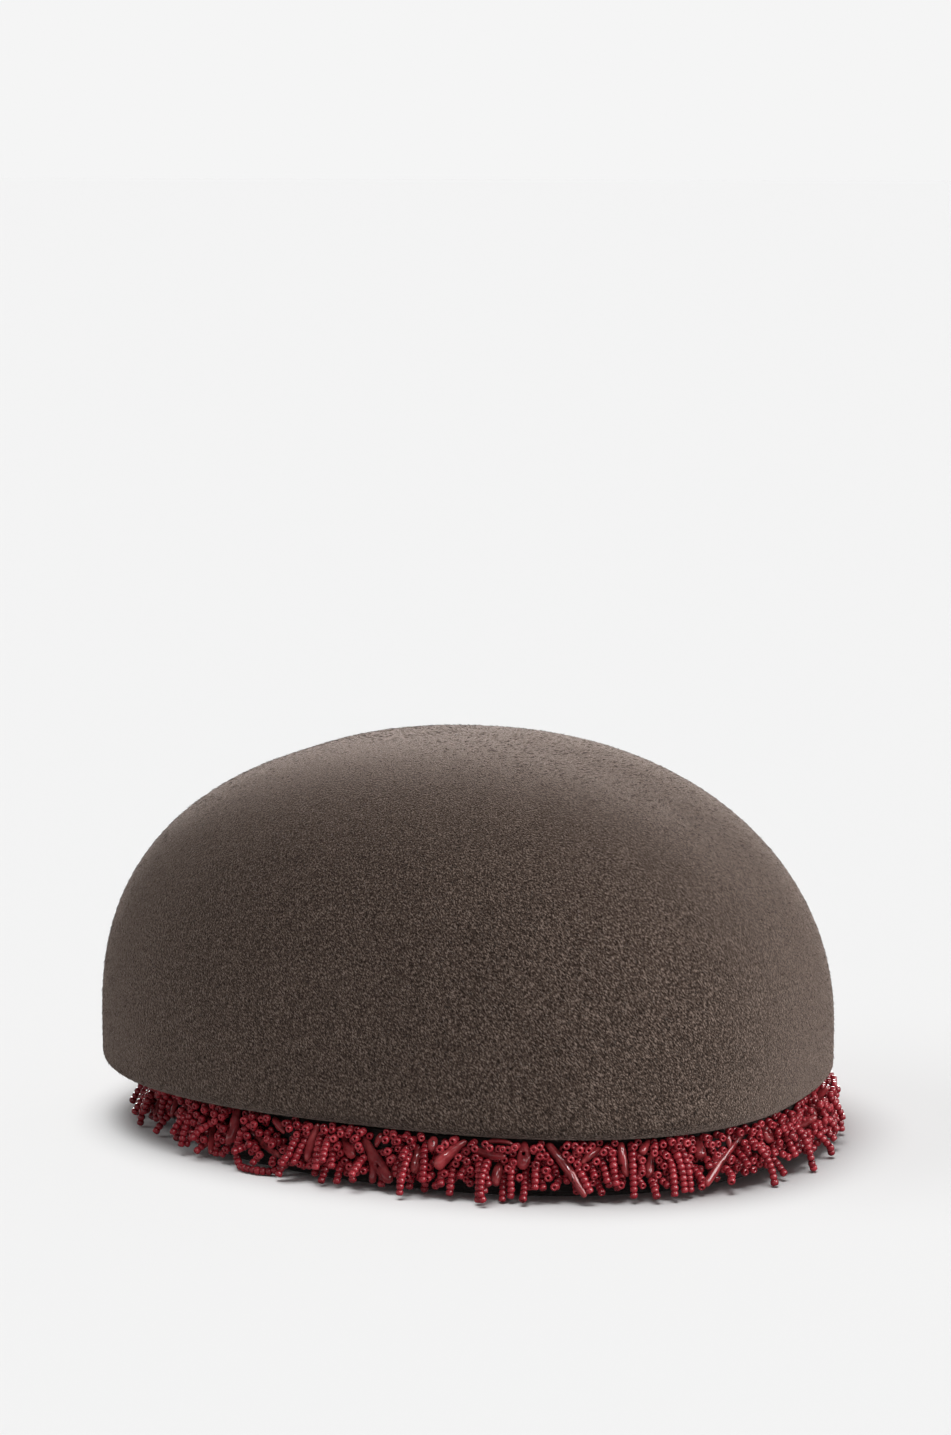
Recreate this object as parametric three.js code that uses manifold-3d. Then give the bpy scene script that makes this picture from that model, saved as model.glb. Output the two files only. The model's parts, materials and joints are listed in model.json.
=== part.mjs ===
// Toque hat: a moulded felt crown on an oval head band, with a fringe of bead strands and branch
// coral sewn round the band. Millimetres, +Z up, the hat stands on z = 0, its length lies along X.
import * as THREE from 'three';
import { mergeVertices } from 'three/addons/utils/BufferGeometryUtils.js';
import Module from 'manifold-3d';

const wasm = await Module();
wasm.setup();

// Driving dimensions

const GAP = 0.3;
const COLUMNS = 60;

const CROWN = {
  centreX: -3,
  halfLength: 118,
  halfWidth: 89,
  planPower: 2.5,
  height: 125.5,
  widestHeight: 34,
  rimHeight: 18.5,
  frontPower: 2.2,
  backPower: 2.08,
  sidePower: 2.9,
  apexShift: -3,
  wall: 2.5,
  rollRadius: 4.5,
};

const BAND = {
  centreX: 5,
  halfLength: 104,
  halfWidth: 83,
  planPower: 2.2,
  wall: 3,
  height: 26,
  edgeRound: 0.6,
};

const TAPE = { bottom: 4.5, top: 17.8, thickness: 1.2 };

// A strand leaves the tape level, turns down past its elbow, and swings a few degrees sideways.
const STRAND = { radius: 1.5, sides: 4, steps: 2, swing: 5, elbowShare: 0.6, elbowRise: 0.6 };

// A row for each line of strands: height of the roots, how far the tips stand out and drop.
const STRAND_ROWS = [
  { height: 15.2, reach: 11.5, drop: 3.8, count: 48 },
  { height: 10.8, reach: 11.0, drop: 5.6, count: 50 },
  { height: 6.8, reach: 9.0, drop: 4.0, count: 50 },
];

const BRANCH = { sides: 6, drillRadius: 0.65, drillSides: 6 };

// A side twig's size as a share of its stick's, and its angle to the stick in degrees.
const TWIG = { length: 0.42, thick: 0.6, foot: 0.15, angle: 43 };

// Radius of a stick at its root, middle and tip as a share of its half thickness, and how flat it is.
const BRANCH_FORMS = {
  rod: { root: 0.85, middle: 1.0, tip: 0.75, flat: 1.0 },
  club: { root: 0.45, middle: 0.7, tip: 1.0, flat: 0.85 },
  drop: { root: 0.55, middle: 0.95, tip: 0.9, flat: 0.95 },
  spindle: { root: 0.6, middle: 1.0, tip: 0.55, flat: 0.9 },
  paddle: { root: 0.6, middle: 1.0, tip: 0.95, flat: 0.65 },
};

// A row for each main stick of the near side: degrees round the band, height of its root, size,
// degrees it leans off plumb and flares outward, bend in mm, and where a hole or twig comes.
const NEAR_BRANCHES = [
  { around: -153, height: 13.0, length: 11, thick: 2.2, lean: 15, flare: 25, bend: 0.5, form: 'rod' },
  { around: -130, height: 10.0, length: 10.5, thick: 2.5, lean: 30, flare: 28, bend: 0.4, form: 'rod' },
  { around: -122.5, height: 17.5, length: 12, thick: 3.5, lean: 2, flare: 26, bend: -0.5, form: 'rod' },
  { around: -119.5, height: 11.5, length: 16.5, thick: 2.9, lean: 68, flare: 6, bend: 0.8, form: 'spindle' },
  { around: -102.5, height: 17.5, length: 12, thick: 2.6, lean: -7, flare: 24, bend: 0.4, form: 'rod' },
  { around: -97, height: 14.5, length: 9, thick: 3.7, lean: 52, flare: 30, bend: 0.0, form: 'drop' },
  { around: -92.5, height: 15.5, length: 18.5, thick: 4.3, lean: 48, flare: 20, bend: 0.5, form: 'paddle',
    hole: 0.62, twig: 0.45 },
  { around: -80, height: 14.5, length: 9, thick: 3.0, lean: 2, flare: 30, bend: 0.0, form: 'drop' },
  { around: -76.5, height: 17.3, length: 5, thick: 3.1, lean: 0, flare: 42, bend: 0.2, form: 'rod' },
  { around: -70, height: 17.0, length: 12.5, thick: 5.1, lean: -48, flare: 22, bend: 0.6, form: 'club' },
  { around: -68, height: 14.0, length: 10, thick: 3.4, lean: 88, flare: 20, bend: 0.0, form: 'rod' },
  { around: -63.5, height: 11.0, length: 7.5, thick: 3.4, lean: -8, flare: 30, bend: 0.3, form: 'drop' },
  { around: -59, height: 17.5, length: 8.5, thick: 4.4, lean: -1, flare: 28, bend: 0.0, form: 'paddle',
    hole: 0.45 },
  { around: -55, height: 17.3, length: 20, thick: 3.0, lean: 39, flare: 22, bend: -0.7, form: 'rod' },
  { around: -45.5, height: 15.5, length: 8, thick: 2.6, lean: -60, flare: 28, bend: 0.4, form: 'spindle' },
  { around: -42, height: 17.0, length: 10.5, thick: 2.7, lean: 6, flare: 26, bend: 0.5, form: 'rod' },
  { around: -37, height: 17.2, length: 6, thick: 3.1, lean: -50, flare: 38, bend: 0.0, form: 'drop' },
  { around: -36.5, height: 13.0, length: 8, thick: 3.1, lean: -20, flare: 30, bend: 0.2, form: 'drop' },
  { around: -28, height: 16.5, length: 7, thick: 4.2, lean: -10, flare: 30, bend: 0.0, form: 'club' },
  { around: -17.5, height: 15.5, length: 25, thick: 3.1, lean: -59, flare: 6, bend: 0.9, form: 'club' },
  { around: -13.5, height: 16.3, length: 6.5, thick: 4.0, lean: 4, flare: 28, bend: 0.0, form: 'paddle',
    hole: 0.5 },
  { around: -1, height: 10.0, length: 7, thick: 2.6, lean: 124, flare: 45, bend: 0.3, form: 'rod' },
  { around: 4, height: 15.8, length: 6, thick: 3.0, lean: -32, flare: 38, bend: 0.0, form: 'drop' },
  { around: 9, height: 13.5, length: 6.5, thick: 2.2, lean: 178, flare: 45, bend: 0.2, form: 'rod' },
];

// The far side repeats the near side's sticks in another order, evenly spread.
const FAR_BRANCHES = { count: 16, first: 22, pitch: 11, stride: 7 };

const FELT = { color: 0x7a6a62, roughness: 0.95, metalness: 0 };
const DARK_CLOTH = { color: 0x241a18, roughness: 0.9, metalness: 0 };
const BEAD_RED = { color: 0xa32f38, roughness: 0.35, metalness: 0 };
const CORAL_RED = { color: 0xb03a40, roughness: 0.4, metalness: 0 };

// Plan ovals

function planRadius(angle, halfLength, halfWidth, power) {
  const along = Math.abs(Math.cos(angle)) / halfLength;
  const across = Math.abs(Math.sin(angle)) / halfWidth;
  return (along ** power + across ** power) ** (-1 / power);
}

function bandPoint(angle, offset, z) {
  const radius = planRadius(angle, BAND.halfLength + offset, BAND.halfWidth + offset, BAND.planPower);
  return new THREE.Vector3(BAND.centreX + radius * Math.cos(angle), radius * Math.sin(angle), z);
}

function bandOutward(angle) {
  const step = 0.01;
  const before = bandPoint(angle - step, 0, 0);
  const after = bandPoint(angle + step, 0, 0);
  const along = after.sub(before).normalize();
  return new THREE.Vector3(along.y, -along.x, 0);
}

// Solids

// A lathe whose section changes from column to column: sectionAt(angle) lists its points in order.
function latheOfSections(sectionAt) {
  const sections = [];
  for (let column = 0; column <= COLUMNS; column += 1) {
    sections.push(sectionAt((column % COLUMNS) * ((2 * Math.PI) / COLUMNS)));
  }
  const rows = sections[0].length;
  const template = sections[0].map((point, row) => new THREE.Vector2(1, row));
  const geometry = new THREE.LatheGeometry(template, COLUMNS);
  const position = geometry.attributes.position;
  sections.forEach((section, column) => {
    section.forEach((point, row) => position.setXYZ(column * rows + row, point.x, point.y, point.z));
  });
  return geometry;
}

function solidOf(geometry) {
  const bare = geometry.clone();
  bare.deleteAttribute('normal');
  bare.deleteAttribute('uv');
  const merged = mergeVertices(bare, 1e-3);
  return new wasm.Manifold(new wasm.Mesh({
    numProp: 3,
    vertProperties: new Float32Array(merged.attributes.position.array),
    triVerts: new Uint32Array(merged.index.array),
  }));
}

function geometryOf(solid) {
  const mesh = solid.getMesh();
  const geometry = new THREE.BufferGeometry();
  geometry.setAttribute('position', new THREE.BufferAttribute(mesh.vertProperties, 3));
  geometry.setIndex(new THREE.BufferAttribute(mesh.triVerts, 1));
  geometry.computeVertexNormals();
  return geometry;
}

function namedMesh(name, geometry, finish) {
  const mesh = new THREE.Mesh(geometry, new THREE.MeshStandardMaterial(finish));
  mesh.name = name;
  return mesh;
}

// Crown

// The dome leans from one curve to the next round the hat: its power sets how square the shoulder is.
function domePower(angle) {
  const along = Math.cos(angle);
  const endPower = along < 0 ? CROWN.frontPower : CROWN.backPower;
  return endPower * along ** 2 + CROWN.sidePower * Math.sin(angle) ** 2;
}

// A point of the outer skin (inset 0) or the inner one (inset = wall); turn 0 is the widest level,
// a quarter turn is the apex.
function domePoint(angle, inset, turn) {
  const power = domePower(angle);
  const radius = planRadius(angle, CROWN.halfLength - inset, CROWN.halfWidth - inset, CROWN.planPower);
  const spread = radius * Math.abs(Math.cos(turn)) ** (2 / power);
  const rise = Math.sin(turn) ** (2 / power);
  const centreX = CROWN.centreX + CROWN.apexShift * rise ** 2;
  return new THREE.Vector3(
    centreX + spread * Math.cos(angle),
    spread * Math.sin(angle),
    CROWN.widestHeight + (CROWN.height - inset - CROWN.widestHeight) * rise,
  );
}

function rimPoint(angle, inset, turn) {
  const radius = planRadius(angle, CROWN.halfLength - inset, CROWN.halfWidth - inset, CROWN.planPower);
  const roll = CROWN.rollRadius - inset;
  const spread = radius - roll * (1 - Math.cos(turn));
  return new THREE.Vector3(
    CROWN.centreX + spread * Math.cos(angle),
    spread * Math.sin(angle),
    CROWN.rimHeight + CROWN.rollRadius - roll * Math.sin(turn),
  );
}

function turns(steps) {
  return Array.from({ length: steps + 1 }, (_, step) => (step / steps) * (Math.PI / 2));
}

// From the inner apex down to the lip's edge, out under the rolled rim, and up to the outer apex.
function crownSection(angle) {
  const innerDome = turns(8).reverse().map((turn) => domePoint(angle, CROWN.wall, turn));
  const innerRoll = turns(3).map((turn) => rimPoint(angle, CROWN.wall, turn));
  const lip = [
    bandPoint(angle, GAP, CROWN.rimHeight + CROWN.wall),
    bandPoint(angle, GAP, CROWN.rimHeight),
  ];
  const outerRoll = turns(4).reverse().map((turn) => rimPoint(angle, 0, turn));
  const outerDome = turns(10).map((turn) => domePoint(angle, 0, turn));
  return [...innerDome, ...innerRoll, ...lip, ...outerRoll, ...outerDome];
}

// Head band and fringe tape: upright oval rings

function bandSection(angle) {
  const inner = -BAND.wall;
  const round = BAND.edgeRound;
  const corners = [
    [-round, 0], [0, round], [0, BAND.height], [inner, BAND.height], [inner, round], [inner + round, 0],
    [-round, 0],
  ];
  return corners.map(([offset, z]) => bandPoint(angle, offset, z));
}

function tapeSection(angle) {
  const inner = GAP;
  const outer = GAP + TAPE.thickness;
  const corners = [
    [outer, TAPE.bottom], [outer, TAPE.top], [inner, TAPE.top], [inner, TAPE.bottom],
    [outer, TAPE.bottom],
  ];
  return corners.map(([offset, z]) => bandPoint(angle, offset, z));
}

// Branch coral

function nearAndFarBranches() {
  const far = Array.from({ length: FAR_BRANCHES.count }, (_, index) => ({
    ...NEAR_BRANCHES[(index * FAR_BRANCHES.stride) % NEAR_BRANCHES.length],
    around: FAR_BRANCHES.first + index * FAR_BRANCHES.pitch,
  }));
  return [...NEAR_BRANCHES, ...far];
}

// Radius and height of each level of a stick, from its root to its tip.
function stickProfile(form, length, thick) {
  const half = thick / 2;
  const cap = Math.min(half, length / 6);
  const levels = [
    [0, 0], [0.7 * form.root, 0.25 * cap], [form.root, cap], [form.middle, length / 2],
    [form.tip, length - cap], [0.6 * form.tip, length - 0.25 * cap], [0, length],
  ];
  return levels.map(([share, y]) => new THREE.Vector2(share * half, y));
}

// How far a stick's axis stands aside at a share of its length; bend is the most, at mid length.
function bendAt(share, bend) {
  return 4 * bend * share * (1 - share);
}

// A stick grows along +Y from its root at the origin, then bends sideways.
function stickGeometry(form, length, thick, bend) {
  const geometry = new THREE.LatheGeometry(stickProfile(form, length, thick), BRANCH.sides);
  geometry.scale(1, 1, form.flat);
  const position = geometry.attributes.position;
  for (let index = 0; index < position.count; index += 1) {
    const share = position.getY(index) / length;
    position.setX(index, position.getX(index) + bendAt(share, bend));
  }
  return geometry;
}

function branchGeometry(row) {
  const form = BRANCH_FORMS[row.form];
  const stem = stickGeometry(form, row.length, row.thick, row.bend);
  if (!row.hole && !row.twig) {
    return stem;
  }
  let solid = solidOf(stem);
  if (row.twig) {
    const twig = stickGeometry(BRANCH_FORMS.drop, row.length * TWIG.length, row.thick * TWIG.thick, 0);
    twig.rotateZ(-THREE.MathUtils.degToRad(TWIG.angle));
    twig.translate(row.thick * TWIG.foot, row.length * row.twig, 0);
    solid = solid.add(solidOf(twig));
  }
  if (row.hole) {
    const radius = BRANCH.drillRadius;
    const drill = new THREE.CylinderGeometry(radius, radius, row.thick * 2, BRANCH.drillSides);
    drill.rotateX(Math.PI / 2);
    drill.translate(bendAt(row.hole, row.bend), row.length * row.hole, 0);
    solid = solid.subtract(solidOf(drill));
  }
  return geometryOf(solid);
}

// Root and axes of a stick on the tape: along it, across it and facing out from it.
function branchPlace(row) {
  const angle = THREE.MathUtils.degToRad(row.around);
  const lean = THREE.MathUtils.degToRad(row.lean);
  const flare = THREE.MathUtils.degToRad(row.flare);
  const form = BRANCH_FORMS[row.form];
  const outward = bandOutward(angle);
  const sideways = new THREE.Vector3(-outward.y, outward.x, 0);
  const along = new THREE.Vector3(0, 0, -Math.cos(lean) * Math.cos(flare))
    .addScaledVector(sideways, Math.sin(lean) * Math.cos(flare))
    .addScaledVector(outward, Math.sin(flare));
  const across = new THREE.Vector3().crossVectors(along, outward).normalize();
  const facing = new THREE.Vector3().crossVectors(across, along);
  const towardsTape = stickProfile(form, row.length, row.thick)
    .map((level) => level.x * form.flat * Math.cos(flare) - level.y * Math.sin(flare));
  const seat = GAP + TAPE.thickness + GAP + Math.max(...towardsTape);
  return { root: bandPoint(angle, seat, row.height), along, across, facing };
}

function branchMesh(row, name) {
  const { root, along, across, facing } = branchPlace(row);
  const mesh = namedMesh(name, branchGeometry(row), CORAL_RED);
  mesh.quaternion.setFromRotationMatrix(new THREE.Matrix4().makeBasis(across, along, facing));
  mesh.position.copy(root);
  return mesh;
}

// Bead strands

// Points along every stick, with its half thickness there, that the strands keep clear of.
function branchFeelers(rows) {
  const shares = [0, 0.15, 0.3, 0.45, 0.6, 0.75, 0.9, 1];
  return rows.flatMap((row) => {
    const { root, along, across } = branchPlace(row);
    const form = BRANCH_FORMS[row.form];
    const twig = row.twig ? row.thick / 2 : 0;
    return shares.map((share) => ({
      point: root.clone()
        .addScaledVector(along, share * row.length)
        .addScaledVector(across, bendAt(share, row.bend)),
      radius: (row.thick / 2) * (share < 0.3 ? form.root : 1) + twig,
    }));
  });
}

function strandCurve(angle, swing, row, share) {
  const root = bandPoint(angle, GAP + TAPE.thickness / 2, row.height);
  const elbowReach = GAP + TAPE.thickness + row.reach * share * STRAND.elbowShare;
  const elbow = bandPoint(angle, elbowReach, row.height + STRAND.elbowRise);
  const tip = bandPoint(angle + swing, GAP + row.reach * share, row.height - row.drop * share);
  return new THREE.QuadraticBezierCurve3(root, elbow, tip);
}

function isClear(curve, feelers) {
  const needed = STRAND.radius + 1.5 * GAP;
  return curve.getPoints(10).every((point) =>
    feelers.every((feeler) => point.distanceTo(feeler.point) > needed + feeler.radius));
}

function strandGeometry(curve) {
  const section = new THREE.Shape(Array.from({ length: STRAND.sides }, (_, side) => {
    const angle = (side / STRAND.sides) * 2 * Math.PI;
    return new THREE.Vector2(STRAND.radius * Math.cos(angle), STRAND.radius * Math.sin(angle));
  }));
  return new THREE.ExtrudeGeometry(section, { steps: STRAND.steps, extrudePath: curve, bevelEnabled: false });
}

// A strand that would meet a stick is tried with more swing or shorter, then left out.
function strandCurves(feelers) {
  const goldenShare = 0.618034;
  const extraSwings = [0, 1, -1, 2, -2];
  const shares = [1, 0.8, 0.6, 0.45];
  return STRAND_ROWS.flatMap((row, rowIndex) => {
    const curves = [];
    for (let index = 0; index < row.count; index += 1) {
      const angle = ((index + rowIndex / STRAND_ROWS.length) / row.count) * 2 * Math.PI;
      const ownSwing = 2 * ((index * goldenShare) % 1) - 1;
      const tries = shares.flatMap((share) => extraSwings.map((extra) => {
        const swing = THREE.MathUtils.degToRad(STRAND.swing * (ownSwing + extra));
        return strandCurve(angle, swing, row, share);
      }));
      const clear = tries.find((curve) => isClear(curve, feelers));
      if (clear) {
        curves.push(clear);
      }
    }
    return curves;
  });
}

function fringeGeometry(rows) {
  const curves = strandCurves(branchFeelers(rows));
  const tape = solidOf(latheOfSections(tapeSection));
  return geometryOf(curves.reduce((solid, curve) => solid.add(solidOf(strandGeometry(curve))), tape));
}

// Assembly

const hat = new THREE.Group();
hat.add(namedMesh('crown', latheOfSections(crownSection), FELT));
hat.add(namedMesh('head_band', latheOfSections(bandSection), DARK_CLOTH));

const branches = nearAndFarBranches();
hat.add(namedMesh('bead_fringe', fringeGeometry(branches), BEAD_RED));
branches.forEach((row, index) => {
  hat.add(branchMesh(row, `coral_branch_${String(index + 1).padStart(2, '0')}`));
});

export default hat;
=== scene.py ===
"""Looks of the toque hat: napped felt crown, dark head band, fringe of seed beads and branch coral."""

import json
import math
import random

import bpy
import numpy as np
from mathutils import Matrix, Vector
from mathutils.bvhtree import BVHTree

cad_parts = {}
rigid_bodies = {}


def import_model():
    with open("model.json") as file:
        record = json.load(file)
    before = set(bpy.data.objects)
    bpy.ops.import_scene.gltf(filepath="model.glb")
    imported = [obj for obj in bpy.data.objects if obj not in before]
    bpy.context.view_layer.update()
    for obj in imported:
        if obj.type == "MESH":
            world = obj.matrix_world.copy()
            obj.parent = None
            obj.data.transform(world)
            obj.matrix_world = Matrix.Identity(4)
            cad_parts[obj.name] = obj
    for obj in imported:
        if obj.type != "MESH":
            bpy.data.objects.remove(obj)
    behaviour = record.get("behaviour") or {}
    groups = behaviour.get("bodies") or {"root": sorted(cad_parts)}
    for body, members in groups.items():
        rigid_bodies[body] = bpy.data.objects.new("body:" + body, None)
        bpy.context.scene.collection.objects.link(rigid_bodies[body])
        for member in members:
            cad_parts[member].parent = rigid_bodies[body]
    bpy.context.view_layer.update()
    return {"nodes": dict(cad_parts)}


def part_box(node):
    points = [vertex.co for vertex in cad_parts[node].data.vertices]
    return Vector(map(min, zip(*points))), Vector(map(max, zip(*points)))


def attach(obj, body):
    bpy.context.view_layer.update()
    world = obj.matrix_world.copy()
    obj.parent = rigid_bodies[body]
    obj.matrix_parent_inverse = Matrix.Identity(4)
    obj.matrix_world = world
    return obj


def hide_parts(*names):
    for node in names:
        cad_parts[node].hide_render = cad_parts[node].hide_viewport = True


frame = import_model()
NODES = frame["nodes"]
BODY = "root"
MM = 0.001
UP = Vector((0, 0, 1))

# Sizes: the boxes come from the frame, the rest repeats the solids' own values

CROWN_LOW, CROWN_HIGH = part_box("crown")
BAND_LOW, BAND_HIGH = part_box("head_band")
CORALS = sorted(name for name in NODES if name.startswith("coral_branch_"))

CROWN_CENTRE_X = (CROWN_LOW.x + CROWN_HIGH.x) / 2
CROWN_HALF_LENGTH = (CROWN_HIGH.x - CROWN_LOW.x) / 2
CROWN_HALF_WIDTH = (CROWN_HIGH.y - CROWN_LOW.y) / 2
CROWN_PLAN_POWER = 2.5
RIM_HEIGHT = CROWN_LOW.z
WIDEST_HEIGHT = 34 * MM
FRONT_POWER, BACK_POWER, SIDE_POWER = 2.2, 2.08, 2.9
APEX_SHIFT = -3 * MM
FELT_WALL = 2.5 * MM
ROLL_RADIUS = 4.5 * MM

BAND_CENTRE_X = (BAND_LOW.x + BAND_HIGH.x) / 2
BAND_HALF_LENGTH = (BAND_HIGH.x - BAND_LOW.x) / 2
BAND_HALF_WIDTH = (BAND_HIGH.y - BAND_LOW.y) / 2
BAND_PLAN_POWER = 2.2
GAP = 0.3 * MM
TAPE_BOTTOM, TAPE_TOP, TAPE_THICKNESS = 4.5 * MM, 17.8 * MM, 1.2 * MM
TAPE_FACE = GAP + TAPE_THICKNESS


# Meshes from arrays

def mesh_object(name, points, faces, material, smooth=True):
    """A mesh of faces that all have the same number of corners."""
    points = np.asarray(points, np.float32).reshape(-1, 3)
    faces = np.asarray(faces, np.int32)
    count, corners = faces.shape
    mesh = bpy.data.meshes.new(name)
    mesh.vertices.add(len(points))
    mesh.vertices.foreach_set("co", points.ravel())
    mesh.loops.add(count * corners)
    mesh.loops.foreach_set("vertex_index", faces.ravel())
    mesh.polygons.add(count)
    mesh.polygons.foreach_set("loop_start", np.arange(count, dtype=np.int32) * corners)
    mesh.polygons.foreach_set("use_smooth", np.full(count, smooth))
    mesh.update(calc_edges=True)
    mesh.validate()
    mesh.materials.append(material)
    obj = bpy.data.objects.new(name, mesh)
    bpy.context.scene.collection.objects.link(obj)
    return obj


def dress(piece, slot, *nodes):
    """The piece rides on the hat and stands for the nodes named, which are hidden; its slot is not used."""
    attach(piece, BODY)
    if nodes:
        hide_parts(*nodes)


def add_value(obj, name, values):
    """A value for each vertex, which the material reads by name."""
    attribute = obj.data.attributes.new(name, "FLOAT", "POINT")
    attribute.data.foreach_set("value", np.asarray(values, np.float32))


def grid_faces(columns, rows, wrap_rows=False):
    """Quads of a closed ring of columns, each with the same number of rows."""
    faces = []
    for column in range(columns):
        after = (column + 1) % columns
        for row in range(rows if wrap_rows else rows - 1):
            above = (row + 1) % rows
            here, beside = column * rows, after * rows
            faces.append((here + row, beside + row, beside + above, here + above))
    return np.array(faces)


def unit(vectors):
    return vectors / np.maximum(np.linalg.norm(vectors, axis=-1, keepdims=True), 1e-12)


# Plan ovals

SMALL_TURN = 0.01


def plan_radius(angle, half_length, half_width, power):
    along = abs(math.cos(angle)) / half_length
    across = abs(math.sin(angle)) / half_width
    return (along ** power + across ** power) ** (-1 / power)


def band_point(angle, offset, z):
    radius = plan_radius(angle, BAND_HALF_LENGTH + offset, BAND_HALF_WIDTH + offset, BAND_PLAN_POWER)
    return Vector((BAND_CENTRE_X + radius * math.cos(angle), radius * math.sin(angle), z))


def band_outward(angle):
    along = band_point(angle + SMALL_TURN, 0, 0) - band_point(angle - SMALL_TURN, 0, 0)
    return Vector((along.y, -along.x, 0)).normalized()


# Material helpers

def new_material(name):
    material = bpy.data.materials.new(name)
    material.use_nodes = True
    nodes = material.node_tree.nodes
    return material, nodes, material.node_tree.links, nodes["Principled BSDF"]


def noise_node(nodes, links, coords, scale, detail, roughness=0.6):
    node = nodes.new("ShaderNodeTexNoise")
    node.inputs["Scale"].default_value = scale
    node.inputs["Detail"].default_value = detail
    node.inputs["Roughness"].default_value = roughness
    links.new(coords, node.inputs["Vector"])
    return node.outputs["Fac"]


def ramp_node(nodes, links, source, stops):
    node = nodes.new("ShaderNodeValToRGB")
    ramp = node.color_ramp
    while len(ramp.elements) < len(stops):
        ramp.elements.new(0.5)
    for element, (place, color) in zip(ramp.elements, stops):
        element.position = place
        element.color = (*color, 1)
    links.new(source, node.inputs["Fac"])
    return node.outputs["Color"]


def grey(level):
    return (level, level, level)


def math_node(nodes, links, operation, *values):
    node = nodes.new("ShaderNodeMath")
    node.operation = operation
    for socket, value in zip(node.inputs, values):
        if isinstance(value, (int, float)):
            socket.default_value = value
        else:
            links.new(value, socket)
    return node.outputs[0]


def multiply_colors(nodes, links, first, second):
    node = nodes.new("ShaderNodeMix")
    node.data_type = "RGBA"
    node.blend_type = "MULTIPLY"
    node.inputs["Factor"].default_value = 1.0
    links.new(first, node.inputs["A"])
    links.new(second, node.inputs["B"])
    return node.outputs["Result"]


def bump_node(nodes, links, height, strength, distance):
    node = nodes.new("ShaderNodeBump")
    node.inputs["Strength"].default_value = strength
    node.inputs["Distance"].default_value = distance
    links.new(height, node.inputs["Height"])
    return node.outputs["Normal"]


def object_coords(nodes):
    return nodes.new("ShaderNodeTexCoord").outputs["Object"]


def stretched_coords(nodes, links, along, stretch):
    """Object coordinates drawn out along one direction, so that a grain runs that way."""
    node = nodes.new("ShaderNodeMapping")
    node.vector_type = "TEXTURE"
    node.inputs["Rotation"].default_value = Vector(along).to_track_quat("X", "Z").to_euler()
    node.inputs["Scale"].default_value = (stretch, 1, 1)
    links.new(object_coords(nodes), node.inputs["Vector"])
    return node.outputs["Vector"]


def value_named(nodes, name):
    node = nodes.new("ShaderNodeAttribute")
    node.attribute_name = name
    return node.outputs["Fac"]


# Materials

GRAIN_LAY = (0.55, 0.25, -0.8)
GRAIN_STRETCH = 2.4
RIM_SHADE_HEIGHT = 5 * MM


def felt_material():
    """Grey-brown fur felt: a fine slanting grain, dark pits and a pale sheen, with painted shade darkening it
    towards the rim.
    """
    material, nodes, links, shader = new_material("felt")
    slanting = stretched_coords(nodes, links, GRAIN_LAY, GRAIN_STRETCH)
    mottle = noise_node(nodes, links, object_coords(nodes), scale=60, detail=3)
    grain = noise_node(nodes, links, slanting, scale=2600, detail=2)
    pores = noise_node(nodes, links, object_coords(nodes), scale=1900, detail=1, roughness=0.5)
    tone = ramp_node(nodes, links, grain, [
        (0.35, (0.010, 0.0060, 0.0042)),
        (0.45, (0.044, 0.0298, 0.0232)),
        (0.55, (0.079, 0.0555, 0.0442)),
        (0.65, (0.215, 0.1620, 0.1350)),
    ])
    shade = ramp_node(nodes, links, mottle, [(0.3, grey(0.90)), (0.7, grey(1.0))])
    pits = ramp_node(nodes, links, pores, [(0.27, grey(0.4)), (0.36, grey(1.0))])
    split = nodes.new("ShaderNodeSeparateXYZ")
    links.new(object_coords(nodes), split.inputs[0])
    # Painted shade: over the lowest 5 mm above the rim the felt's colour darkens, to about a third at the
    # rim's edge, in place of the shade under the rolled edge
    above_rim = math_node(nodes, links, "SUBTRACT", split.outputs["Z"], RIM_HEIGHT)
    rim_shade_share = math_node(nodes, links, "DIVIDE", above_rim, RIM_SHADE_HEIGHT)
    painted_rim_shade = ramp_node(nodes, links, rim_shade_share, [
        (0.0, grey(0.35)),
        (0.5, grey(0.75)),
        (1.0, grey(1.0)),
    ])
    color = multiply_colors(nodes, links, multiply_colors(nodes, links, tone, shade), pits)
    links.new(multiply_colors(nodes, links, color, painted_rim_shade), shader.inputs["Base Color"])
    height = math_node(nodes, links, "ADD", grain, math_node(nodes, links, "MULTIPLY", pores, 0.7))
    links.new(bump_node(nodes, links, height, strength=0.9, distance=0.6 * MM), shader.inputs["Normal"])
    shader.inputs["Roughness"].default_value = 0.95
    shader.inputs["Specular IOR Level"].default_value = 0.1
    shader.inputs["Sheen Weight"].default_value = 0.44
    shader.inputs["Sheen Roughness"].default_value = 0.35
    shader.inputs["Sheen Tint"].default_value = (1.0, 0.79, 0.68, 1)
    return material


def nap_material():
    """Loose fibres of the same felt, each a little lighter or darker."""
    material, nodes, links, shader = new_material("felt_nap")
    color = ramp_node(nodes, links, value_named(nodes, "shade"), [
        (0.0, (0.026, 0.017, 0.013)),
        (0.5, (0.084, 0.059, 0.048)),
        (1.0, (0.300, 0.240, 0.208)),
    ])
    links.new(color, shader.inputs["Base Color"])
    shader.inputs["Roughness"].default_value = 0.8
    shader.inputs["Specular IOR Level"].default_value = 0.2
    shader.inputs["Sheen Weight"].default_value = 0.3
    shader.inputs["Sheen Roughness"].default_value = 0.4
    return material


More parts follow.
